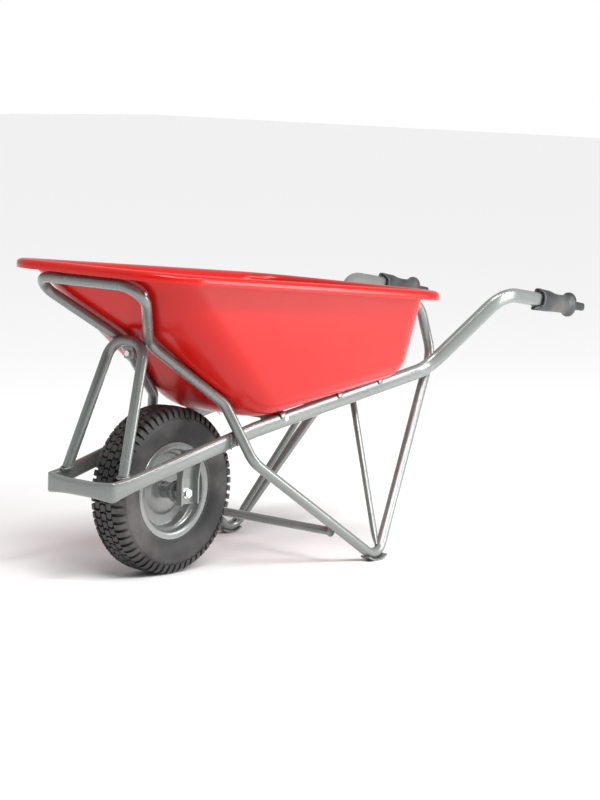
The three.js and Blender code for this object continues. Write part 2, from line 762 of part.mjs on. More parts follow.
function addTubBolts() {
  boltPlaces().forEach((place, i) => {
    const below = floorTop(place.x) - barTop(place.x) + crossBar.height / Math.cos(railRise) + 1.5;
    const headFrom = tub.wall + gap;
    const tip = -below - tubBolt.nutHeight - tubBolt.tail;
    const shank = boltLine(place, tip, headFrom + 1, tubBolt.radius, 12);
    const head = boltLine(place, headFrom, headFrom + tubBolt.headHeight, tubBolt.head, 16);
    add(`tub_bolt_${i + 1}`, toGeometry(toSolid(shank).add(toSolid(head))), 'zinc');
    const corner = tubBolt.nutAcross / 2 / Math.cos(Math.PI / 6);
    const nut = boltLine(place, -below - tubBolt.nutHeight, -below, corner, 6);
    const bore = boltLine(place, -below - 30, -below + 10, tubBolt.radius + gap, 12);
    add(`tub_nut_${i + 1}`, cut(nut, bore), 'zinc');
  });
}

// ------------------------------------------------------------------ grips

// Rubber sleeve turned round the end of the handle: collar, waist, flange, then a flat tab.
function gripPiece() {
  const route = railRoute();
  const last = route.stations.length - 1;
  const frames = route.computeFrenetFrames(last, false);
  const along = route.tangents[last];
  const across = frames.normals[last];
  const up = frames.binormals[last];
  const start = left(handleEnd).addScaledVector(along, -grip.length + grip.overhang);
  const stations = [
    [0, grip.collar - 4, 0.7], [5, grip.collar, 0.7], [50, grip.collar - 1, 0.7], [80, grip.waist + 3.5, 0.72],
    [104, grip.waist + 2, 0.75], [124, grip.waist + 2, 0.76], [136, grip.waist + 4, 0.8],
    [145, grip.flange - 1, 0.9], [154, grip.flange, 0.9], [165, grip.flange - 4, 0.88],
    [170, 17, 0.75], [176, 12.4, 0.62], [grip.length - 4, 10, 0.55], [grip.length, 7, 0.5],
  ];
  const sides = 12;
  const turnAt = (i) => (2 * Math.PI * (i + 0.5)) / sides;
  const place = (s, a, b) => start.clone().addScaledVector(along, s).addScaledVector(across, a).addScaledVector(up, b);
  const outerRings = stations.map(([s, r, flat]) => {
    const ring = [];
    for (let i = 0; i < sides; i += 1) {
      ring.push(place(s, r * flat * Math.cos(turnAt(i)), r * Math.sin(turnAt(i))));
    }
    return ring;
  });
  const depth = grip.length - grip.overhang + 2;
  const holeRing = (s) => {
    const ring = [];
    for (let i = 0; i < sides; i += 1) {
      const lift = (Math.sign(Math.sin(turnAt(i))) * (rail.height - rail.width)) / 2;
      const radius = rail.width / 2 + gap;
      ring.push(place(s, radius * Math.cos(turnAt(i)), radius * Math.sin(turnAt(i)) + lift));
    }
    return ring;
  };
  const rings = [holeRing(depth), holeRing(0), ...outerRings];
  const vertices = rings.flat();
  const bottom = vertices.push(place(depth, 0, 0)) - 1;
  const cap = vertices.push(place(grip.length, 0, 0)) - 1;
  const index = [];
  for (let r = 0; r < rings.length - 1; r += 1) {
    for (let i = 0; i < sides; i += 1) {
      const j = (i + 1) % sides;
      const [a, b, c, d] = [r * sides + i, r * sides + j, (r + 1) * sides + j, (r + 1) * sides + i];
      index.push(a, b, c, a, c, d);
    }
  }
  const lastRing = (rings.length - 1) * sides;
  for (let i = 0; i < sides; i += 1) {
    const j = (i + 1) % sides;
    index.push(bottom, j, i);
    index.push(cap, lastRing + i, lastRing + j);
  }
  const geometry = new THREE.BufferGeometry().setFromPoints(vertices);
  geometry.setIndex(index);
  return outwards(geometry);
}

// Turns a closed shell the right way out when its signed volume is negative.
function outwards(geometry) {
  const { array } = geometry.attributes.position;
  const index = geometry.index.array;
  const corner = (i) => point(array[3 * i], array[3 * i + 1], array[3 * i + 2]);
  let volume = 0;
  for (let i = 0; i < index.length; i += 3) {
    const [a, b, c] = [corner(index[i]), corner(index[i + 1]), corner(index[i + 2])];
    volume += a.dot(b.cross(c));
  }
  if (volume < 0) {
    for (let i = 0; i < index.length; i += 3) {
      [index[i], index[i + 1]] = [index[i + 1], index[i]];
    }
  }
  return geometry;
}

// ------------------------------------------------------------------ assembly

addPair('rail', sweep(railShape(), railRoute()), 'frame');
add('front_bumper', bumperPiece(), 'frame');
add('front_hoop', frontHoopPiece(), 'frame');
addHoopTab();
addPair('side_tube', sideTubePiece(), 'frame');
add('leg_brace', legBracePiece(), 'frame');
addPair('stay', stayPiece(), 'frame');
addPair('skid_plate', skidPiece(), 'frame');
['front', 'middle', 'rear'].forEach((name, i) => {
  add(`${name}_cross_bar`, drilledCrossBar(crossBar.places[i]), 'frame');
});
addPair('axle_bracket', bracketPiece(), 'frame');

add('axle_bolt', axlePiece(), 'zinc');
add('axle_nut', axleNutPiece(), 'zinc');
addPair('axle_washer', ringAt(axle.radius + gap, axle.washerRadius, -washerOuter, -webOuter - gap), 'zinc');
const spacerFrom = -bracket.webY + gap;
addPair('axle_spacer', ringAt(axle.radius + gap, 10, spacerFrom, -hub.halfLength - 1), 'zinc');

add('tyre', outwards(turned(tyreOutline(), axleHeight, 32)), 'tyre');
add('inner_tube', innerTubePiece(), 'tube');
const rimHalf = outwards(turned(rimOutline(), axleHeight, 28));
const [valveFrom, valveTo] = valveLine(rim.wellRadius - valve.length, rim.wellRadius + 6);
add('right_rim_half', rimHalf, 'rim');
add('left_rim_half', cut(mirrored(rimHalf), bar(valveFrom, valveTo, valve.radius + gap)), 'rim');
add('hub_tube', outwards(hubPiece()), 'rim');
const bearingIn = [axle.radius + runningGap, hub.bore - gap];
addPair('bearing', ringAt(...bearingIn, -hub.halfLength, -hub.halfLength + bearing.width), 'zinc');
add('valve_stem', bar(valveFrom, valveTo, valve.radius, 12), 'tube');

add('tub', outwards(tubPiece()), 'tub');
addTubBolts();
addPair('grip', gripPiece(), 'grip');

// Stand the barrow on Z = 0, with its length centred on X = 0.
const extent = new THREE.Box3().setFromObject(barrow);
barrow.position.set(-(extent.min.x + extent.max.x) / 2, 0, -extent.min.z);

export default barrow;
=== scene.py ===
# %% [markdown]
# # A builder's wheelbarrow
# The barrow has a deep moulded tub on a frame of bent steel tube, one air-filled wheel in
# front and two rubber hand grips behind. The plain solids of every part are loaded first as
# a fixed frame. This lesson then builds the visible skins round them, piece by piece, with
# the finish that each one has on the real thing.

import json
import math

import bmesh
import bpy
from mathutils import Matrix, Vector


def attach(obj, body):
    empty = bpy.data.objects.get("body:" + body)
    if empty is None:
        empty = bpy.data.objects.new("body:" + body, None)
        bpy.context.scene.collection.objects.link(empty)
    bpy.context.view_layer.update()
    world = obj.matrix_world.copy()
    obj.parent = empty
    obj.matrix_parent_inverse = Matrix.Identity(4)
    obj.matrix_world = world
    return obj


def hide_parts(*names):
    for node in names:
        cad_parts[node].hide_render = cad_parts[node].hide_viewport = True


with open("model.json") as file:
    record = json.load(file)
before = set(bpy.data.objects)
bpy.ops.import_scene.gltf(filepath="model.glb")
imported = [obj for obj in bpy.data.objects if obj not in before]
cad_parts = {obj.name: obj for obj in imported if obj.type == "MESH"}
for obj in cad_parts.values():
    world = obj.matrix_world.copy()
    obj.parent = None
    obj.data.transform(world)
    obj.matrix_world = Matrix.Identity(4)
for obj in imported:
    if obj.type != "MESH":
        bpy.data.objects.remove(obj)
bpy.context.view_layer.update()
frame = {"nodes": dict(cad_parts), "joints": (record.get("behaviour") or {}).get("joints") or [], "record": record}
axle = Vector(frame["joints"][0]["pos_m"])
print("axle at", tuple(round(value, 4) for value in axle), "of", len(frame["nodes"]), "nodes")

# %% [markdown]
# ## Measures
# The maker's drawing counts millimetres from the point on the ground under the axle. The
# scene counts metres from the middle of the barrow, so one small helper turns a place on
# the drawing into a place in the scene.

# %% places on the drawing
MM = 0.001
CROWN = 390                      # top of the wheel
TUBE_R = 12.5                    # round tubes of the frame
CLEAR = 0.3                      # gap between pieces that touch
RIM_REAR = 692
RIM_RISE, RIM_SLOPE = 313, 0.088 # the rim's top falls towards the rear
LIP_WIDE, LIP_DEEP = 37, 22      # the tub's rolled lip


def spot(x, y, z):
    """A place on the maker's drawing, in millimetres, as a place in the scene."""
    return Vector((axle.x + x * MM, y * MM, z * MM))


def other_side(places):
    """The same places on the other side of the barrow."""
    return [Vector((place.x, -place.y, place.z)) for place in places]


# %% [markdown]
# ## Finishes
# Powder coat, moulded plastic, rubber and zinc all carry a fine unevenness, so their grain
# comes from one shared node group: a fine noise for the height of the surface and a slower
# one that makes it duller in patches. A second group lays pale dust and darker handling
# marks over a colour.

# %% a group for grain
def new_group(name, inputs, outputs):
    """An empty shader group with float or colour sockets."""
    group = bpy.data.node_groups.new(name, "ShaderNodeTree")
    kinds = {"f": "NodeSocketFloat", "c": "NodeSocketColor"}
    for label, kind, value in inputs:
        socket = group.interface.new_socket(label, in_out="INPUT", socket_type=kinds[kind])
        socket.default_value = value
    for label, kind in outputs:
        group.interface.new_socket(label, in_out="OUTPUT", socket_type=kinds[kind])
    return group, group.nodes.new("NodeGroupInput"), group.nodes.new("NodeGroupOutput")


grain, given, made = new_group(
    "grain",
    [("Size", "f", 400.0), ("Patch", "f", 12.0), ("Least", "f", 0.3), ("Most", "f", 0.45)],
    [("Height", "f"), ("Roughness", "f")])
place_node = grain.nodes.new("ShaderNodeTexCoord")
fine = grain.nodes.new("ShaderNodeTexNoise")
fine.inputs["Detail"].default_value = 3.0
slow = grain.nodes.new("ShaderNodeTexNoise")
slow.inputs["Detail"].default_value = 5.0
spread = grain.nodes.new("ShaderNodeMapRange")
spread.inputs["From Min"].default_value = 0.35
spread.inputs["From Max"].default_value = 0.65
join = grain.links.new
join(place_node.outputs["Object"], fine.inputs["Vector"])
join(place_node.outputs["Object"], slow.inputs["Vector"])
join(given.outputs["Size"], fine.inputs["Scale"])
join(given.outputs["Patch"], slow.inputs["Scale"])
join(slow.outputs["Fac"], spread.inputs["Value"])
join(given.outputs["Least"], spread.inputs["To Min"])
join(given.outputs["Most"], spread.inputs["To Max"])
join(fine.outputs["Fac"], made.inputs["Height"])
join(spread.outputs["Result"], made.inputs["Roughness"])
print("group", grain.name, "has", len(grain.nodes), "nodes")

# %% a group for dust and marks
marks, given, made = new_group(
    "dust_and_marks",
    [("Colour", "c", (0.5, 0.5, 0.5, 1)), ("Dust", "c", (0.5, 0.48, 0.45, 1)),
     ("Dark", "c", (0.1, 0.1, 0.1, 1)), ("Dust Amount", "f", 0.1), ("Dark Amount", "f", 0.1),
     ("Size", "f", 9.0)],
    [("Colour", "c")])
place_node = marks.nodes.new("ShaderNodeTexCoord")
cloud = marks.nodes.new("ShaderNodeTexNoise")
cloud.inputs["Detail"].default_value = 6.0
speck = marks.nodes.new("ShaderNodeTexNoise")
speck.inputs["Scale"].default_value = 55.0
speck.inputs["Detail"].default_value = 4.0
join = marks.links.new
for noise in (cloud, speck):
    join(place_node.outputs["Object"], noise.inputs["Vector"])
join(given.outputs["Size"], cloud.inputs["Scale"])
last = given.outputs["Colour"]
for noise, colour, amount in ((cloud, "Dust", "Dust Amount"), (speck, "Dark", "Dark Amount")):
    above = marks.nodes.new("ShaderNodeMapRange")
    above.interpolation_type = "SMOOTHSTEP"
    above.inputs["From Min"].default_value = 0.4
    above.inputs["From Max"].default_value = 0.85
    join(noise.outputs["Fac"], above.inputs["Value"])
    join(given.outputs[amount], above.inputs["To Max"])
    mix = marks.nodes.new("ShaderNodeMix")
    mix.data_type = "RGBA"
    join(above.outputs["Result"], mix.inputs["Factor"])
    join(last, mix.inputs[6])
    join(given.outputs[colour], mix.inputs[7])
    last = mix.outputs[2]
join(last, made.inputs["Colour"])
print("group", marks.name, "has", len(marks.nodes), "nodes")

# %% [markdown]
# ## One recipe for a finish
# Every finish is a plain surface shader with its own colour, gloss and metal. The two groups
# feed its colour, its roughness and the height of a bump. What is the same all over the
# surface is set on the shader itself.

# %% the finishes
BUMP_DEPTH = 0.0004
COAT_ROUGHNESS = 0.08


def new_finish(name, colour, rough, grain_size, height, metal=0.0, coat=0.0, dust=0.1, dark=0.1,
               dark_colour=(0.08, 0.08, 0.08), patch=10.0, shine=0.5):
    """A material from a colour, its least and most roughness, and its grain and dirt."""
    material = bpy.data.materials.new(name)
    material.use_nodes = True
    nodes, link = material.node_tree.nodes, material.node_tree.links.new
    shader = nodes["Principled BSDF"]
    shader.inputs["Metallic"].default_value = metal
    shader.inputs["Coat Weight"].default_value = coat
    shader.inputs["Coat Roughness"].default_value = COAT_ROUGHNESS
    shader.inputs["Specular IOR Level"].default_value = shine
    texture = nodes.new("ShaderNodeGroup")
    texture.node_tree = grain
    texture.inputs["Size"].default_value = grain_size
    texture.inputs["Patch"].default_value = patch
    texture.inputs["Least"].default_value = rough[0]
    texture.inputs["Most"].default_value = rough[1]
    dirt = nodes.new("ShaderNodeGroup")
    dirt.node_tree = marks
    dirt.inputs["Colour"].default_value = (*colour, 1)
    dirt.inputs["Dark"].default_value = (*dark_colour, 1)
    dirt.inputs["Dust Amount"].default_value = dust
    dirt.inputs["Dark Amount"].default_value = dark
    bump = nodes.new("ShaderNodeBump")
    bump.inputs["Strength"].default_value = height
    bump.inputs["Distance"].default_value = BUMP_DEPTH
    link(texture.outputs["Height"], bump.inputs["Height"])
    link(bump.outputs["Normal"], shader.inputs["Normal"])
    link(texture.outputs["Roughness"], shader.inputs["Roughness"])
    link(dirt.outputs["Colour"], shader.inputs["Base Color"])
    return material


finishes = {
    "frame_paint": new_finish(
        "grey_powder_coat", (0.2, 0.222, 0.212), (0.22, 0.32), 900, 0.2, metal=0.3,
        coat=0.9, dust=0.07, dark=0.06),
    "tub_plastic": new_finish(
        "red_moulded_plastic", (0.6, 0.007, 0.004), (0.18, 0.24), 520, 0.06,
        dust=0.008, dark=0.12, dark_colour=(0.45, 0.005, 0.005), patch=3, shine=0.38),
    "tyre_rubber": new_finish(
        "tyre_rubber", (0.022, 0.022, 0.023), (0.46, 0.62), 260, 0.5, dust=0.22,
        dark=0.3, dark_colour=(0.012, 0.012, 0.012)),
    "tube_rubber": new_finish(
        "inner_tube_rubber", (0.02, 0.02, 0.022), (0.45, 0.6), 400, 0.2, dust=0.1),
    "rim_paint": new_finish(
        "silver_rim_paint", (0.25, 0.265, 0.26), (0.2, 0.32), 700, 0.2, metal=0.4,
        coat=0.3, dust=0.12, dark=0.15),
    "zinc_steel": new_finish(
        "bright_zinc", (0.78, 0.79, 0.8), (0.16, 0.34), 1200, 0.2, metal=1.0,
        dust=0.08, dark=0.25, dark_colour=(0.3, 0.3, 0.32), patch=60),
    "grip_rubber": new_finish(
        "grip_rubber", (0.026, 0.028, 0.03), (0.34, 0.48), 600, 0.45, dust=0.2,
        dark=0.2, dark_colour=(0.02, 0.02, 0.02)),
}
print("finishes:", ", ".join(sorted(finishes)))

# %% [markdown]
# ## Tools of the workshop
# Long pieces such as tubes, grips and the tub are all a ring that is extruded again and
# again and set in its next place each time. Wheel parts are a ring that is spun round the
# axle. Two short helpers do that with the ordinary edit-mode operators.

# %% selecting and finishing
def select_only(*pieces):
    bpy.ops.object.select_all(action="DESELECT")
    for piece in pieces:
        piece.select_set(True)
        bpy.context.view_layer.objects.active = piece


def finish_piece(piece, name, body, slot, stands_for=(), sharp=40):
    """Names a piece, applies its place, smooths it and ties it to its body and finish."""
    select_only(piece)
    bpy.ops.object.transform_apply(location=True, rotation=True, scale=True)
    bpy.ops.object.shade_smooth_by_angle(angle=math.radians(sharp))
    piece.name = piece.data.name = name
    piece.data.materials.clear()
    piece.data.materials.append(finishes[slot])
    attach(piece, body)
    if stands_for:
        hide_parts(*stands_for)
    size = piece.dimensions
    print(f"{name}: {len(piece.data.polygons)} faces, {size.x:.3f} x {size.y:.3f} x {size.z:.3f} m")
    return piece


def joined(pieces):
    select_only(*pieces)
    bpy.ops.object.join()
    return bpy.context.object


# %% a ring extruded along its places
def first_ring(places):
    bpy.ops.object.select_all(action="DESELECT")
    bpy.ops.mesh.primitive_circle_add(vertices=len(places), radius=1)
    piece = bpy.context.object
    bpy.ops.object.mode_set(mode="EDIT")
    bpy.ops.mesh.select_all(action="SELECT")
    mesh = bmesh.from_edit_mesh(piece.data)
    for vertex, place in zip(mesh.verts, places):
        vertex.co = place
    bmesh.update_edit_mesh(piece.data)
    return piece


def extruded(rings, closed=False):
    """A skin through rings of places. Its ends are filled, or joined where it is closed."""
    piece = first_ring(rings[0])
    for last, following in zip(rings, [*rings[1:], *([rings[0]] if closed else [])]):
        bpy.ops.mesh.extrude_region_move()
        mesh = bmesh.from_edit_mesh(piece.data)
        order = {tuple(place): i for i, place in enumerate(last)}
        for vertex in mesh.verts:
            if vertex.select:
                vertex.co = following[order[tuple(vertex.co)]]
        bmesh.update_edit_mesh(piece.data)
    bpy.ops.mesh.select_all(action="SELECT")
    bpy.ops.mesh.remove_doubles(threshold=1e-6)
    if not closed:
        bpy.ops.mesh.fill_holes(sides=0)
    bpy.ops.mesh.select_all(action="SELECT")
    bpy.ops.mesh.normals_make_consistent(inside=False)
    bpy.ops.object.mode_set(mode="OBJECT")
    return piece


# %% a ring spun round the axle
def spun(outline, steps=96):
    """A closed outline of (radius, side) pairs in millimetres, spun round the wheel's axle."""
    piece = first_ring([axle + Vector((r * MM, y * MM, 0)) for r, y in outline])
    bpy.ops.mesh.spin(steps=steps, angle=2 * math.pi, center=axle, axis=(0, 1, 0))
    bpy.ops.mesh.select_all(action="SELECT")
    bpy.ops.mesh.remove_doubles(threshold=1e-6)
    bpy.ops.mesh.normals_make_consistent(inside=False)
    bpy.ops.object.mode_set(mode="OBJECT")
    return piece


# %% [markdown]
# ## Bent tube
# A tube bender makes straight runs joined by round bends. The helper below takes the corners
# where two runs would meet and the radius of each bend, and gives the places along the
# centre line. Another one sets a section square to the line at each place.

# %% lines and sections
def bent_line(corners, steps=9):
    """Places along straight runs and round bends, from (corner, bend radius) pairs."""
    line = [corners[0][0]]
    for (before, _), (corner, radius), (after, _) in zip(corners, corners[1:], corners[2:]):
        into = (corner - before).normalized()
        out = (after - corner).normalized()
        turn = into.angle(out)
        reach = radius * MM * math.tan(turn / 2)
        start = corner - into * reach
        pivot = into.cross(out).normalized()
        centre = start + pivot.cross(into) * radius * MM
        for k in range(steps + 1):
            line.append(centre + Matrix.Rotation(turn * k / steps, 3, pivot) @ (start - centre))
    line.append(corners[-1][0])
    return line


def round_section(radius, sides=24):
    angles = [2 * math.pi * k / sides for k in range(sides)]
    return [(radius * math.cos(angle), radius * math.sin(angle)) for angle in angles]


def oval_section(width, height, sides=28):
    """A flat oval that stands upright: half rounds above and below two flat faces."""
    flat = (height - width) / 2
    return [(a, b + math.copysign(flat, b)) for a, b in
            [(width / 2 * math.cos(2 * math.pi * (k + 0.5) / sides),
              width / 2 * math.sin(2 * math.pi * (k + 0.5) / sides)) for k in range(sides)]]


def square_to(line, k):
    """The direction of a line at one of its places."""
    return (line[min(k + 1, len(line) - 1)] - line[max(k - 1, 0)]).normalized()


def swept(line, section_at, upright=False):
    """Rings of a section along a line. An upright section keeps its height in the vertical."""
    rings = []
    side = None
    for k, place in enumerate(line):
        along = square_to(line, k)
        if upright:
            side = along.cross(Vector((0, 0, 1))).normalized()
        elif side is None:
            side = along.orthogonal().normalized()
        else:
            side = (side - along * side.dot(along)).normalized()
        up = side.cross(along)
        rings.append([place + side * a * MM + up * b * MM for a, b in section_at(k)])
    return rings


def tube(corners, radius=TUBE_R, steps=9):
    line = bent_line(corners, steps)
    section = round_section(radius)
    return extruded(swept(line, lambda k: section))


# %% [markdown]
# ## The main frame tube
# One flat oval tube makes both rails. It is folded round the front as a bumper, runs back
# under the tub with a slight bend, turns up and out behind it and turns level again for the
# hands. The fold at each front corner squeezes the tube a little taller. One long sweep shows
# it better than the three solids it stands for.

# %% rails and bumper
BUMPER_X, BUMPER_Y, BUMPER_Z = -264, 101, CROWN - 163.9
SAG = (179, 121.8, CROWN - 58.9)
RAIL_BEND = (785, 150, CROWN + 45.5)
HANDLE_BEND = (950, 256, CROWN + 232)
HANDLE_END = (1236, 258, CROWN + 189)
RAIL_TALL, RAIL_WIDE = 38, 20

FOLD_BEND, FOLD_REACH = 8, 75

right_half = [
    (spot(BUMPER_X, BUMPER_Y, BUMPER_Z), FOLD_BEND),
    (spot(*SAG), 500),
    (spot(*RAIL_BEND), 110),
    (spot(*HANDLE_BEND), 90),
    (spot(*HANDLE_END), 0),
]
left_half = [(other_side([place])[0], radius) for place, radius in reversed(right_half)]
rail_line = bent_line(left_half + right_half, 10)
corner_places = (spot(BUMPER_X, BUMPER_Y, BUMPER_Z), spot(BUMPER_X, -BUMPER_Y, BUMPER_Z))


def with_stations(line, near, reach, step):
    """The same line with extra places where it is close to one of some points."""
    full = [line[0]]
    for start, end in zip(line, line[1:]):
        length = (end - start).length
        count = 1
        if any((p - place).length < reach for p in near for place in (start, end)):
            count = max(1, min(40, int(length / step)))
        full += [start.lerp(end, k / count) for k in range(1, count + 1)]
    return full


rail_line = with_stations(rail_line, corner_places, 0.03, 0.01)


def rail_section(k):
    """The oval grows a little taller and thinner close to a folded corner."""
    near = min((rail_line[k] - corner).length for corner in corner_places) / MM
    fold = max(0.0, 1 - near / FOLD_REACH) ** 2
    return oval_section(RAIL_WIDE - 9 * fold, RAIL_TALL - 1 + 10 * fold)


rails = extruded(swept(rail_line, rail_section, upright=True))
finish_piece(rails, "rail_tube", "frame", "frame_paint",
             ["left_rail", "right_rail", "front_bumper"])

# %% [markdown]
# ## The cradle and legs
# On each side one round tube carries the front of the tub, crosses the rail, makes the leg
# and rises again behind the tub. The two meet in front under the lip and again behind, so
# they are swept as one closed line, with a small joint sleeve where the ends meet.

# %% side tubes
CROSSING_X, SPLAY = 102, 0.4
RAIL_HALF = RAIL_TALL / 2 / math.cos(math.atan2(SAG[2] - BUMPER_Z, SAG[0] - BUMPER_X))


def rail_at(x):
    """Centre line of the right rail between the bumper and the first bend."""
    start, end = ((BUMPER_X, BUMPER_Y, BUMPER_Z), SAG) if x < SAG[0] else (SAG, RAIL_BEND)
    part = (x - start[0]) / (end[0] - start[0])
    return x, start[1] + part * (end[1] - start[1]), start[2] + part * (end[2] - start[2])


def crossing_y(z):
    beside = rail_at(CROSSING_X)
    touching = beside[1] + RAIL_WIDE / 2 + (TUBE_R + CLEAR)
    return touching + SPLAY * (beside[2] + RAIL_HALF - z)


def rim_top(x):
    return CROWN + RIM_RISE - RIM_SLOPE * x


CROSS = (-265, 189, CROWN + 300)
WAIST = (-96, 41, CROWN + 153)
ELBOW = (81, crossing_y(CROWN + 10), CROWN + 10)
KNEE = (127, crossing_y(CROWN - 124), CROWN - 124)
FOOT_X, FOOT_Y = 501, 240
HOOP_BASE = (845, RAIL_BEND[1] - 38, RAIL_BEND[2] + 31)
HOOP_SHOULDER = (806, 100, CROWN + 210)
HOOP_X = RIM_REAR - LIP_WIDE / 2 - 1
HOOP_Z = rim_top(HOOP_X + TUBE_R) - LIP_DEEP - TUBE_R - 2 * CLEAR
SKID_THICK = 4.6

foot_z = 0.0
for _ in range(4):
    lowest = min(place.z for place in bent_line(
        [(spot(*KNEE), 0), (spot(FOOT_X, FOOT_Y, foot_z), 42), (spot(*HOOP_BASE), 0)], 24))
    foot_z += SKID_THICK + TUBE_R - lowest / MM
FOOT = (FOOT_X, FOOT_Y, foot_z)

right_side = [(spot(*CROSS), 42), (spot(*WAIST), 50), (spot(*ELBOW), 50), (spot(*KNEE), 60),
              (spot(*FOOT), 42), (spot(*HOOP_BASE), 60), (spot(*HOOP_SHOULDER), 60),
              (spot(HOOP_X, 92, HOOP_Z), 45)]
right_line = bent_line([(spot(CROSS[0], 0, CROSS[2]), 0), *right_side,
                        (spot(HOOP_X, 0, HOOP_Z), 0)], 9)
left_line = other_side(reversed(right_line))[1:-1]
closed_line = right_line + left_line


def closed_rings(line, section):
    """Rings along a line that ends where it starts, with the twist spread evenly."""
    count = len(line)
    directions = [(line[(k + 1) % count] - line[k - 1]).normalized() for k in range(count)]
    side = directions[0].orthogonal().normalized()
    sides = []
    for k in range(count + 1):
        along = directions[k % count]
        side = (side - along * side.dot(along)).normalized()
        sides.append(side)
    first, last = sides[0], sides[-1]
    twist = math.atan2(first.cross(last).dot(directions[0]), first.dot(last))
    rings = []
    for k in range(count):
        side = Matrix.Rotation(-twist * k / count, 3, directions[k]) @ sides[k]
        up = side.cross(directions[k])
        rings.append([line[k] + side * a * MM + up * b * MM for a, b in section])
    return rings


side_tubes = extruded(closed_rings(closed_line, round_section(TUBE_R)), closed=True)
finish_piece(side_tubes, "side_tubes", "frame", "frame_paint",
             ["left_side_tube", "right_side_tube"])

# %% [markdown]
# ## Hoop, brace and stays
# A bent hoop stands on the rails in front of the wheel. A thin brace ties the legs together
# and two thinner stays run from the feet up to the rearmost bar. The stay ends are pressed
# flat where they are welded, so their sections narrow in one direction at each end.

# %% front hoop
FOOT_HOOP = (-219, 90)
HOOP_TOP = (-119, 51, CROWN + 157)
HOOP_BEND = HOOP_TOP[1] * 0.93
hoop_foot_z = rail_at(FOOT_HOOP[0])[2] + RAIL_HALF - 1
hoop = tube([(spot(FOOT_HOOP[0], -FOOT_HOOP[1], hoop_foot_z), 0),
             (spot(HOOP_TOP[0], -HOOP_TOP[1], HOOP_TOP[2]), HOOP_BEND),
             (spot(HOOP_TOP[0], HOOP_TOP[1], HOOP_TOP[2]), HOOP_BEND),
             (spot(FOOT_HOOP[0], FOOT_HOOP[1], hoop_foot_z), 0)], TUBE_R, 14)
finish_piece(hoop, "front_hoop_tube", "frame", "frame_paint", ["front_hoop"])

# %% brace between the legs
BRACE_X, BRACE_Z, BRACE_R = 368, 80, 10.5


def leg_at(x):
    part = (x - KNEE[0]) / (FOOT[0] - KNEE[0])
    return x, KNEE[1] + part * (FOOT[1] - KNEE[1]), KNEE[2] + part * (FOOT[2] - KNEE[2])


brace_y = leg_at(BRACE_X)[1] - 9
brace = tube([(spot(BRACE_X, -brace_y, BRACE_Z), 0),
              (spot(BRACE_X, brace_y, BRACE_Z), 0)], BRACE_R)
finish_piece(brace, "leg_brace_tube", "frame", "frame_paint", ["leg_brace"])


# %% stays with flattened ends
BAR_PROUD = 2
STAY_R, STAY_FLAT = 8, 32
STAY_TOP_X, STAY_TOP_Y, STAY_DROP = 616, 40, 20


def bar_top(x):
    return rail_at(x)[2] + RAIL_HALF + BAR_PROUD


def flattened_bar(start, end, radius, name, stands_for):
    count = 24
    line = [start.lerp(end, k / count) for k in range(count + 1)]

    def section(k):
        near = min(k, count - k) / count * (end - start).length / MM
        squeeze = max(0.0, 1 - near / STAY_FLAT) ** 1.5
        wider, flatter = 1 + 0.4 * squeeze, 1 - 0.62 * squeeze
        return [(a * wider, b * flatter) for a, b in round_section(radius)]

    piece = extruded(swept(line, section))
    return finish_piece(piece, name, "frame", "frame_paint", stands_for)


for name, hand in (("left", -1), ("right", 1)):
    stay_foot = spot(FOOT[0] + 9, hand * (FOOT[1] - 11), 32)
    stay_top = spot(STAY_TOP_X, hand * STAY_TOP_Y, bar_top(STAY_TOP_X) - STAY_DROP)
    flattened_bar(stay_foot, stay_top, STAY_R, name + "_stay_tube", [name + "_stay"])

# %% [markdown]
# ## The tub
# The tub is one plastic shell, four millimetres thick. It is drawn as rings seen from above,
# each one a rectangle with round corners, that climb from the floor up the outside, go out
# and down round the lip, back over its rolled top and down the inside. The front wall slopes
# far more than the others, so each ring has its own front edge and corner sizes.

# %% rings of the tub
WALL = 4
RIM = {"front": -285, "rear": RIM_REAR, "half_front": 273, "half_rear": 314,
       "corner_front": 125, "corner_rear": 120}
FLOOR = {"front": 152, "rear": 654, "half_front": 178, "half_rear": 224,
         "corner_front": 112, "corner_rear": 70}
NOSE_R, TAIL_R, SIDE_R, SIDE_TURN = 150, 58, 66, math.radians(74)
FLOOR_Z, FLOOR_SLOPE = CROWN - 68.5, 0.176
CORNER_STEPS = 16


def floor_top(x):
    return FLOOR_Z + FLOOR_SLOPE * x


def plan_ring(level):
    """One ring of the tub. Its height depends on X and on how far a place faces sideways."""
    ring = []
    for sx, sy, backwards in ((1, -1, True), (1, 1, False), (-1, 1, True), (-1, -1, False)):
        end = "rear" if sx > 0 else "front"
        radius, half = level["corner_" + end], level["half_" + end]
        middle = (level[end] - sx * radius, sy * (half - radius))
        corner = []
        for k in range(CORNER_STEPS + 1):
            angle = math.pi / 2 * k / CORNER_STEPS
            x = middle[0] + sx * radius * math.cos(angle)
            y = middle[1] + sy * radius * math.sin(angle)
            corner.append(spot(x, y, level["height"](x, math.sin(angle) ** 2, sx)))
        ring += reversed(corner) if backwards else corner
    return ring


def bend_profile(radius):
    return lambda t: (radius * math.sin(SIDE_TURN * t), radius * (1 - math.cos(SIDE_TURN * t)))


def front_profile():
    """The front wall's bend: a wide arc between the floor and the sloping wall."""
    top_x = RIM["front"] + LIP_WIDE
    corner = Vector((FLOOR["front"], floor_top(FLOOR["front"])))
    along_floor = Vector((1, FLOOR_SLOPE)).normalized()
    along_wall = (Vector((top_x, rim_top(top_x) - LIP_DEEP)) - corner).normalized()
    turn = math.pi - along_floor.angle(along_wall)
    start = corner + along_floor * NOSE_R * math.tan(turn / 2)
    centre = start + Vector((-along_floor.y, along_floor.x)) * NOSE_R

    def at(t):
        place = centre + Matrix.Rotation(-turn * t, 2) @ (start - centre)
        return place.x, place.y - floor_top(place.x)

    return at


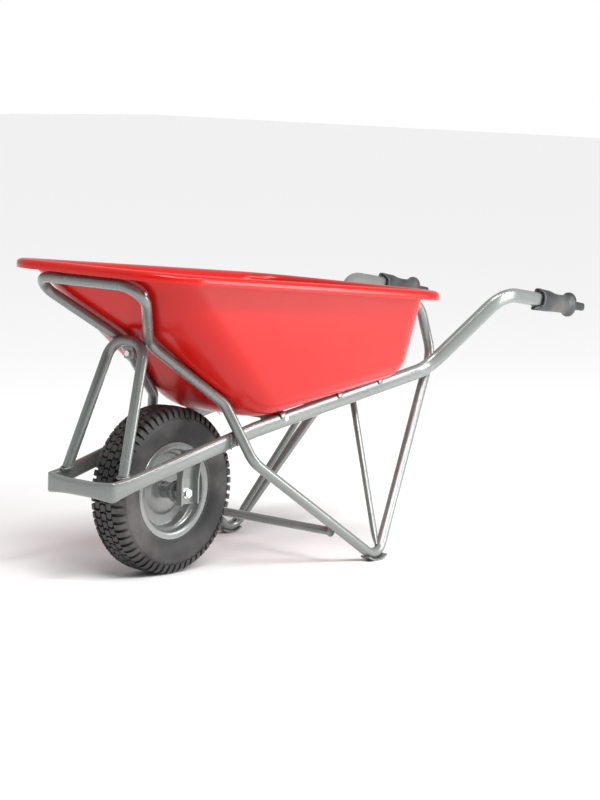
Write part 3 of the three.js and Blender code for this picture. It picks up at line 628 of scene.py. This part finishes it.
def wall_height(nose_up, side_up, tail_up, inset):
    """The height of one body level: the end's bend at the ends, the side's along the sides."""
    def height(x, across, facing):
        end_up = tail_up if facing > 0 else nose_up
        return floor_top(x) + end_up * (1 - across) + side_up * across + inset

    return height


def body_levels(inset, steps=10):
    nose, side, tail = front_profile(), bend_profile(SIDE_R), bend_profile(TAIL_R)
    levels = []
    for k in range(steps + 1):
        front_x, front_lift = nose(k / steps)
        side_out, side_up = side(k / steps)
        tail_out, tail_up = tail(k / steps)
        levels.append({
            "front": front_x + inset,
            "rear": FLOOR["rear"] - inset - TAIL_R + tail_out,
            "half_front": FLOOR["half_front"] - inset - SIDE_R + side_out,
            "half_rear": FLOOR["half_rear"] - inset - SIDE_R + side_out,
            "corner_front": FLOOR["corner_front"] - SIDE_R + side_out,
            "corner_rear": max(FLOOR["corner_rear"] - TAIL_R + tail_out, 12),
            "height": wall_height(front_lift, side_up, tail_up, inset),
        })
    return levels


def lip_level(out, up):
    share = LIP_WIDE - out
    return {
        "front": RIM["front"] + share, "rear": RIM["rear"] - share,
        "half_front": RIM["half_front"] - share, "half_rear": RIM["half_rear"] - share,
        "corner_front": RIM["corner_front"] - share * 0.4,
        "corner_rear": RIM["corner_rear"] - share * 0.6,
        "height": lambda x, across, facing: rim_top(x) + up,
    }


lip_outline = [
    (0, -LIP_DEEP), (0.4, -11), (1.8, -6.5), (5, -4.6), (9, -4.2), (24, -4.2), (29, -5),
    (32, -8), (33, -12), (33, -21), (33.8, -22), (36.2, -22), (37, -21), (37.2, -13),
    (36.6, -8.5), (35, -5), (32, -2.2), (28, -0.7), (23, 0), (15, -0.1), (9, -0.9),
    (4, -2.8), (0.5, -5.6), (-2, -9.5), (-3.4, -15), (-WALL, -LIP_DEEP),
]
levels = [*body_levels(0), *[lip_level(*step) for step in lip_outline],
          *reversed(body_levels(WALL))]
tub = extruded([plan_ring(level) for level in levels])
finish_piece(tub, "tub_shell", "frame", "tub_plastic", ["tub"], sharp=50)

# %% [markdown]
# ## The wheel
# The tyre has a casing with a ridge on each shoulder and rows of tread blocks. One pitch of
# the tread is modelled: a middle block, one on each side of it set half a pitch on, and two
# long lugs that fold over the shoulders. An array turns that pitch all the way round.

# %% tyre casing
TYRE_R = 195
outer_wall = [(103, 32), (108, 34.5), (116, 37.5), (119, 38.4), (121, 38.2), (129, 43),
              (140, 46.6), (151, 48.2), (160, 48.5), (163.5, 48.8), (165.5, 49), (167.5, 48.2),
              (173, 45.6), (178, 41.5), (181.5, 36), (184, 28), (185.6, 16), (186, 5)]
inner_wall = [(178, 5), (176, 20), (170, 33), (160, 41), (149, 42), (128, 37), (114, 28),
              (102, 24), (101.6, 31)]
casing_outline = (outer_wall + [(r, -y) for r, y in reversed(outer_wall)]
                  + [(r, -y) for r, y in reversed(inner_wall)] + inner_wall)
casing = spun(casing_outline, 128)


# %% one pitch of tread
PITCHES = 60
BLOCK_GAP = 4.2
PITCH_ANGLE = 2 * math.pi / PITCHES


def on_tyre(r, y, around):
    """A place on the tyre: radius, side and millimetres round the tread."""
    angle = around / TYRE_R
    return axle + Vector((r * MM * math.cos(angle), y * MM, r * MM * math.sin(angle)))


def crown_drop(y):
    """How much lower the tread is at a distance from its middle line."""
    return 0.0016 * y * y


def tread_block(outline, low, high):
    """A block with sides that lean in a little, from its outline of (side, around) places."""
    mid_y, mid_a = [sum(values) / len(outline) for values in zip(*outline)]
    top = [(mid_y + (y - mid_y) * 0.9, mid_a + (a - mid_a) * 0.9) for y, a in outline]
    rings = [[on_tyre(low, y, a) for y, a in outline],
             [on_tyre(high - 1 - crown_drop(y), y, a) for y, a in outline],
             [on_tyre(high - crown_drop(y), y, a) for y, a in top]]
    return extruded(rings)


pitch_length = PITCH_ANGLE * TYRE_R
block_long = pitch_length - BLOCK_GAP
half_pitch = pitch_length / 2
LUG_WIDE = 12.6
pieces = [tread_block([(-7.5, -2), (0, -5), (7.5, -2), (7.5, block_long - 2),
                       (0, block_long - 5), (-7.5, block_long - 2)], 184, TYRE_R)]
lug_profile = [(183, 27), (194, 27.6), (192.6, 35), (188.5, 41.5), (182, 45.4), (175, 48),
               (172, 48.4), (171, 45), (174, 40), (178, 36)]
for hand in (-1, 1):
    shifted = [(10.2, -1), (17, 2.5), (24.6, -1), (24.6, block_long - 1),
               (17, block_long + 2.5), (10.2, block_long - 1)]
    pieces.append(tread_block([(hand * y, a + half_pitch) for y, a in shifted], 183, 194.6))
    pieces.append(extruded([[on_tyre(r, hand * y, side + (194 - r) * 0.1)
                             for r, y in lug_profile] for side in (0, LUG_WIDE)]))
tread = joined(pieces)
bpy.ops.object.mode_set(mode="EDIT")
bpy.ops.mesh.select_all(action="SELECT")
bpy.ops.mesh.normals_make_consistent(inside=False)
bpy.ops.object.mode_set(mode="OBJECT")

# %% the tread all the way round
turner = bpy.data.objects.new("turner", None)
bpy.context.scene.collection.objects.link(turner)
turner.matrix_world = (Matrix.Translation(axle) @ Matrix.Rotation(-PITCH_ANGLE, 4, "Y")
                       @ Matrix.Translation(-axle))
select_only(tread)
bpy.ops.object.transform_apply(location=True, rotation=True, scale=True)
repeat = tread.modifiers.new("round", "ARRAY")
repeat.count = PITCHES
repeat.use_relative_offset = False
repeat.use_object_offset = True
repeat.offset_object = turner
bpy.ops.object.modifier_apply(modifier="round")
bpy.data.objects.remove(turner)
finish_piece(joined([casing, tread]), "tyre_with_tread", "wheel", "tyre_rubber", ["tyre"], sharp=32)

# %% [markdown]
# ## The rim
# Two pressed discs bolt back to back. Each runs out from the hub in a shallow dish, drops
# into a well, steps up to the seat of the tyre and ends in a rolled flange.

# %% rim halves
face = [(19.9, 9), (30, 9.2), (40, 8.9), (46, 8), (51, 6), (55, 2.6), (58, 0.4), (62, 0.15),
        (84, 0.15), (87, 1.2), (87.2, 6), (87.4, 14), (90, 17.4), (98, 20), (99, 24),
        (99.2, 31), (101, 34.6), (106, 35.1), (111, 35.1), (113, 36)]
back = [(113.6, 37.4), (112.6, 38.4), (110, 38), (105, 37.6), (100.5, 37.5), (97.4, 35.4),
        (96.6, 31), (96.4, 24), (95.4, 22.4), (89, 19.8), (85.6, 17), (84.8, 14), (84.6, 6),
        (84, 3), (82, 2.6), (62, 2.6), (59.4, 3), (56.6, 5.2), (52.6, 8.6), (47, 10.6),
        (40, 11.4), (30, 11.6), (19.9, 11.4)]
for hand, name in ((-1, "left"), (1, "right")):
    half = spun([(r, hand * y) for r, y in face + back], 112)
    finish_piece(half, name + "_rim_disc", "wheel", "rim_paint", [name + "_rim_half"], sharp=38)

# %% hub, thicker at its ends where the bearings sit
HUB_HALF = 53
hub_end = [(19.5, 14), (24, 11), (26, 9), (26, 1.5), (25, 0), (14, 0)]
hub = spun([(r, -HUB_HALF + inwards) for r, inwards in reversed(hub_end)]
           + [(r, HUB_HALF - inwards) for r, inwards in hub_end], 64)
finish_piece(hub, "hub_barrel", "wheel", "rim_paint", ["hub_tube"])

# %% [markdown]
# ## Grips
# Each grip is a rubber sleeve with a cut-back mouth, a waist for the palm, a thumb guard
# like a thick coin and a flat tab at the end to hang it by. It is one skin whose rings run
# along the handle. The mouth's lips reach further forward above and below.

# %% grips
handle_end = spot(*HANDLE_END)
handle_along = (handle_end - spot(*HANDLE_BEND)).normalized()
GRIP_LONG, GRIP_PAST = 223, 60
PALM_AT, TAB_AT = 60, 168
CUT_BESIDE, CUT_ABOVE = 24, 11
grip_rings = [
    # place, half tall, half wide, raised, share of the cut-back mouth
    (3, 20.4, 11.6, 0, 1), (0, 26, 17, 0, 1), (2, 28, 19, 0, 1), (8, 28.6, 19.6, 0, 1),
    (14, 28.4, 19.4, 0, 0.8), (30, 27.6, 19, 0, 0.4), (46, 27.4, 18.8, 0, 0),
    (58, 27, 18.6, 0, 0), (72, 25.6, 18, -0.6, 0), (88, 23.8, 17.2, -1.6, 0),
    (104, 23, 16.6, -1.6, 0), (120, 23, 16.6, -1.2, 0), (134, 23.8, 17, -0.6, 0),
    (141, 26, 18.4, 0, 0), (146, 29.4, 21, 0, 0), (149, 31, 22.6, 0, 0),
    (153, 31.6, 23.4, 0, 0), (157, 31.4, 23.2, 0, 0), (160.5, 30, 22, 0, 0),
    (162.5, 27, 19, 0, 0), (164, 22.5, 15.5, 0, 0), (167, 20, 12.4, 0, 0),
    (170, 13, 7.6, 0, 0), (176, 11.2, 6, 0, 0), (205, 10.4, 5.4, 0, 0),
    (217, 10.2, 5.2, 0, 0), (221.5, 8.6, 4.6, 0, 0), (GRIP_LONG, 6, 3, 0, 0),
]


def superellipse(half_wide, half_tall, power, sides=36):
    places = []
    for k in range(sides):
        angle = 2 * math.pi * (k + 0.5) / sides
        c, s = math.cos(angle), math.sin(angle)
        places.append((half_wide * math.copysign(abs(c) ** (2 / power), c),
                       half_tall * math.copysign(abs(s) ** (2 / power), s)))
    return places


def grip_skin():
    across = handle_along.cross(Vector((0, 0, 1))).normalized()
    up = across.cross(handle_along)
    start = handle_end - handle_along * (GRIP_LONG - GRIP_PAST) * MM
    rings = []
    for place, tall, wide, raised, mouth in grip_rings:
        power = 2.8 if place < PALM_AT else (2.1 if place < TAB_AT else 3.2)
        ring = []
        for a, b in superellipse(wide, tall, power):
            beside = (a / wide) ** 2
            cut = mouth * (CUT_BESIDE * beside + (CUT_ABOVE * (1 - beside) if b > 0 else 0))
            ring.append(start + handle_along * (place + cut) * MM + across * a * MM
                        + up * (b + raised) * MM)
        rings.append(ring)
    return extruded(rings)


right_grip = grip_skin()
left_grip = grip_skin()
select_only(left_grip)
bpy.ops.object.mode_set(mode="EDIT")
mesh = bmesh.from_edit_mesh(left_grip.data)
for vertex in mesh.verts:
    vertex.co.y = -vertex.co.y
bmesh.update_edit_mesh(left_grip.data)
bpy.ops.mesh.select_all(action="SELECT")
bpy.ops.mesh.normals_make_consistent(inside=False)
bpy.ops.object.mode_set(mode="OBJECT")
finish_piece(right_grip, "right_grip_sleeve", "frame", "grip_rubber", ["right_grip"], sharp=45)
finish_piece(left_grip, "left_grip_sleeve", "frame", "grip_rubber", ["left_grip"], sharp=45)

# %% [markdown]
# ## Welds, clips and bolts
# Welded joints show as low rippled beads. Each bead here is a thin ring round the foot of a
# tube, with a section that swells and shrinks along its length like the puddles of a weld.

# %% weld beads
def bead(centre, half_a, half_b, radius=2.3, ripples=26):
    """A rippled ring round an ellipse with the two half axes given as vectors in metres."""
    count = ripples * 2
    angles = [2 * math.pi * k / count for k in range(count)]
    line = [centre + half_a * math.cos(angle) + half_b * math.sin(angle) for angle in angles]
    normal = half_a.cross(half_b).normalized()
    rings = []
    for k, place in enumerate(line):
        along = (line[(k + 1) % count] - line[k - 1]).normalized()
        side = along.cross(normal)
        size = (radius + 0.5 * math.cos(math.pi * k) + 0.35 * math.sin(k * 1.7)) * MM
        eighths = [t * math.pi / 4 for t in range(8)]
        rings.append([place + side * size * math.cos(angle) + normal * size * math.sin(angle)
                      for angle in eighths])
    return extruded(rings, closed=True)


def bead_round(base, direction, radius):
    """A bead round a bar of that radius, where it leaves a surface at the base."""
    a = direction.orthogonal().normalized()
    b = direction.cross(a).normalized()
    return bead(base, a * radius * MM, b * radius * MM)


BAR_PLACES = (262, 457, 612)
beads = []
for hand in (-1, 1):
    hoop_foot = spot(FOOT_HOOP[0], hand * FOOT_HOOP[1], hoop_foot_z + 2)
    beads.append(bead(hoop_foot, Vector((0.0142, 0, 0.003)), Vector((0, 0.0128, 0))))
    brace_end = spot(BRACE_X, hand * (brace_y - 1), BRACE_Z)
    beads.append(bead_round(brace_end, Vector((0, 1, 0)), BRACE_R + 0.5))
    for x in BAR_PLACES:
        inner = rail_at(x)[1] - RAIL_WIDE / 2 - 0.6
        base = spot(x, hand * inner, bar_top(x) - 8)
        beads.append(bead(base, Vector((0.0155, 0, 0.0027)), Vector((0, 0, 0.0085)), 1.9, 30))
    x, y, z = rail_at(CROSSING_X)
    for shift in (-11, 11):
        base = spot(x + shift, hand * (y + RAIL_WIDE / 2 + 1), z + 2 + shift * 0.24)
        beads.append(bead(base, Vector((0, 0.0008, 0.016)), Vector((0.0012, 0, 0)), 1.8, 16))
finish_piece(joined(beads), "weld_beads", "frame", "frame_paint", sharp=80)


# %% joint sleeves of the side tubes
def sleeve(x, z, radius=13.1, half_long=1.2):
    line = [spot(x, half_long * share, z) for share in (-1, -0.5, 0.5, 1)]
    sections = [round_section(radius - low) for low in (0.7, 0, 0, 0.7)]
    return extruded(swept(line, lambda k: sections[k]))


sleeves = [sleeve(CROSS[0], CROSS[2]), sleeve(HOOP_X, HOOP_Z)]
finish_piece(joined(sleeves), "tube_joint_welds", "frame", "frame_paint")


# %% hooked ends of the bars over the rails
def hook(x, hand):
    """A bar end pressed over the top of the rail, with a round tongue down its outer face."""
    _, y, z = rail_at(x)
    outer = y + RAIL_WIDE / 2 + 1.6
    top = z + RAIL_HALF + 1.4
    line = [(y - 4, top), (y + 3, top), (outer - 3.5, top - 0.6), (outer - 0.8, top - 3.2),
            (outer, top - 8), (outer, top - 12), (outer - 0.2, top - 15)]
    widths = [12, 11, 9.5, 8.6, 8, 6.4, 3]
    rise = 0.2
    rings = []
    for (yy, zz), wide in zip(line, widths):
        out, lift = (0, 1) if zz > top - 4 else (1, 0)
        rings.append([spot(x + a, hand * (yy + out * b), zz + a * rise + lift * b)
                      for a, b in superellipse(wide, 1.3, 2.6, 20)])
    return extruded(rings)


HOOK_PLACES = (262, 457, 600)
hooks = [hook(x, hand) for x in HOOK_PLACES for hand in (-1, 1)]
finish_piece(joined(hooks), "bar_hooks", "frame", "frame_paint", sharp=60)


# %% small cap bolts
def cap_bolt(place, direction, across=11, tall=5, washer=8.5):
    """A hexagon head with chamfered corners on a thin washer."""
    turn = Vector((0, 0, 1)).rotation_difference(direction).to_matrix()

    def ring(radius, height, sides):
        return [place + turn @ Vector((a, b, height)) * MM for a, b in round_section(radius, sides)]

    corner = across / 2 / math.cos(math.pi / 6)
    head = extruded([ring(corner, 1.2, 6), ring(corner, tall - 0.7, 6), ring(corner * 0.84, tall, 6)])
    plate = extruded([ring(washer, 0, 28), ring(washer, 1.1, 28), ring(washer - 0.5, 1.4, 28)])
    return [head, plate]


bolts = []
for hand in (-1, 1):
    _, y, z = rail_at(BAR_PLACES[0])
    rail_face = spot(274, hand * (y + RAIL_WIDE / 2 + 0.2), z + 6)
    bolts += cap_bolt(rail_face, Vector((0, hand, 0)), 9, 4, 7)
    cradle_face = Vector((0.35, hand * 0.75, 0.35)).normalized()
    bolts += cap_bolt(spot(-236, hand * 163.5, CROWN + 285), cradle_face, 8, 3.6, 6.5)
finish_piece(joined(bolts), "cap_bolts", "frame", "zinc_steel", sharp=30)

# %% [markdown]
# ## Finishes on the plain solids
# Bars, brackets, bolts, washers and the skid plates are already the right shape. They keep
# their own solids and take the finish of their slot.

# %% finish the solids that stay
slots = {part["node"]: part["material_slot"] for part in frame["record"]["subparts"]}
for name, node in frame["nodes"].items():
    node.data.materials.clear()
    node.data.materials.append(finishes[slots[name]])
print(sum(1 for node in frame["nodes"].values() if not node.hide_render), "solids stay in view")

# %% [markdown]
# ## Floor, light and camera
# A wide pale floor under an even sky gives soft contact shadows. The sky is darker on one
# side, a wide sun comes from the front, and a side lamp and a long strip lamp draw the bright
# lines along the tub and the tubes.

# %% floor and sky
bpy.ops.object.select_all(action="DESELECT")
bpy.ops.mesh.primitive_plane_add(size=60, location=(0, 0, 0))
floor = bpy.context.object
floor.name = "studio_floor"
floor_finish = bpy.data.materials.new("studio_floor_paint")
floor_finish.use_nodes = True
floor_shader = floor_finish.node_tree.nodes["Principled BSDF"]
FLOOR_PAINT = (0.94, 0.94, 0.94, 1)
floor_shader.inputs["Base Color"].default_value = FLOOR_PAINT
floor_shader.inputs["Roughness"].default_value = 0.9
floor.data.materials.append(floor_finish)
sky = bpy.data.worlds.new("studio_sky")
sky.use_nodes = True
sky_link = sky.node_tree.links.new
backdrop = sky.node_tree.nodes["Background"]
backdrop.inputs["Color"].default_value = (1, 1, 1, 1)
light_path = sky.node_tree.nodes.new("ShaderNodeLightPath")
direction = sky.node_tree.nodes.new("ShaderNodeTexCoord")
facing = sky.node_tree.nodes.new("ShaderNodeVectorMath")
facing.operation = "DOT_PRODUCT"
DARK_SIDE = (-0.76, -0.63, 0.15)
EVEN_SKY, DARK_SKY, SEEN_SKY = 0.5, 0.06, 1.0
facing.inputs[1].default_value = DARK_SIDE
dark_side = sky.node_tree.nodes.new("ShaderNodeMapRange")
dark_side.interpolation_type = "SMOOTHSTEP"
dark_side.inputs["From Min"].default_value = 0.62
dark_side.inputs["From Max"].default_value = 0.93
dark_side.inputs["To Min"].default_value = EVEN_SKY
dark_side.inputs["To Max"].default_value = DARK_SKY
sky_link(direction.outputs["Generated"], facing.inputs[0])
sky_link(facing.outputs["Value"], dark_side.inputs["Value"])
sky_strength = sky.node_tree.nodes.new("ShaderNodeMapRange")
sky_strength.inputs["To Max"].default_value = SEEN_SKY
sky_link(light_path.outputs["Is Camera Ray"], sky_strength.inputs["Value"])
sky_link(dark_side.outputs["Result"], sky_strength.inputs["To Min"])
sky_link(sky_strength.outputs["Result"], backdrop.inputs["Strength"])
bpy.context.scene.world = sky
bpy.context.scene.view_settings.view_transform = "Standard"


# %% lamps
def soft_lamp(name, place, target, power, size):
    bpy.ops.object.light_add(type="AREA", location=place)
    lamp = bpy.context.object
    lamp.name = name
    lamp.data.shape = "RECTANGLE"
    lamp.data.size, lamp.data.size_y = size
    lamp.data.energy = power
    lamp.rotation_mode = "QUATERNION"
    lamp.rotation_quaternion = (Vector(target) - Vector(place)).to_track_quat("-Z", "Y")


bpy.ops.object.light_add(type="SUN", location=(0, 0, 4))
sun = bpy.context.object
sun.name = "wide_key"
SUN_POWER, SUN_ANGLE, SUN_WAY = 1.75, 28, Vector((0.3, 0.36, -1.0))
sun.data.energy = SUN_POWER
sun.data.angle = math.radians(SUN_ANGLE)
sun.rotation_mode = "QUATERNION"
sun.rotation_quaternion = SUN_WAY.to_track_quat("-Z", "Y")
soft_lamp("side_lamp", (1.25, -1.9, 0.85), (0.25, 0, 0.5), 26, (0.9, 1.1))
soft_lamp("strip_lamp", (-0.2, -2.4, 2.7), (-0.1, 0, 0.4), 78, (4.2, 0.2))

# %% camera
YAW, PITCH, ROLL = 0.85694, 0.13242, 0.0296
CAMERA_FROM_AXLE, LENS = (-4.28529, -4.12612, 1.20312), 117.0
forward = Vector((math.sin(YAW) * math.cos(PITCH), math.cos(YAW) * math.cos(PITCH),
                  -math.sin(PITCH)))
level_right = Vector((math.cos(YAW), -math.sin(YAW), 0))
level_up = level_right.cross(forward)
right = level_right * math.cos(ROLL) + level_up * math.sin(ROLL)
up = level_up * math.cos(ROLL) - level_right * math.sin(ROLL)
camera_data = bpy.data.cameras.new("front_left")
camera_data.lens = LENS
camera_data.clip_end = 100
camera = bpy.data.objects.new("front_left", camera_data)
bpy.context.scene.collection.objects.link(camera)
camera.matrix_world = Matrix((
    (right.x, up.x, -forward.x, axle.x + CAMERA_FROM_AXLE[0]),
    (right.y, up.y, -forward.y, CAMERA_FROM_AXLE[1]),
    (right.z, up.z, -forward.z, CAMERA_FROM_AXLE[2]),
    (0, 0, 0, 1)))
bpy.context.scene.camera = camera
